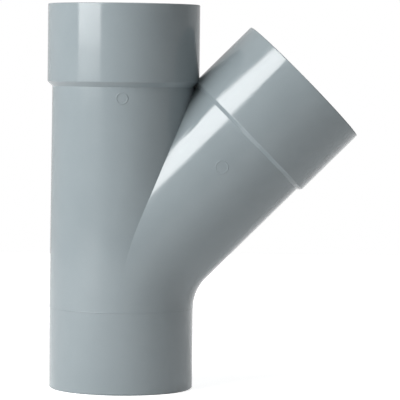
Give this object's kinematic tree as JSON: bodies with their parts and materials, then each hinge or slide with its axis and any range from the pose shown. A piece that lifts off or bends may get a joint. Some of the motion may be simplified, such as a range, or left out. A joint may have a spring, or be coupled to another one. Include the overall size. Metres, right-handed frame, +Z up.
{
  "type": "lateral wye fitting",
  "caption": "Moulded 45 degree lateral wye for drain pipe: a straight run with a plain spigot below and a solvent-weld socket above, and a swept lateral ending in a matching socket.",
  "frame": {"origin": "centre of the spigot's flat end face", "axes": "+Z runs up the run's axis to its socket, the lateral leans from +Z towards +X in the XZ plane, Y is across"},
  "size_m": [0.2368, 0.116, 0.2934],
  "materials": {
    "grey_pvc": "smooth moulded grey PVC with a satin gloss"
  },
  "bodies": {
    "root": {"wye_body": "grey_pvc"}
  },
  "joints": []
}
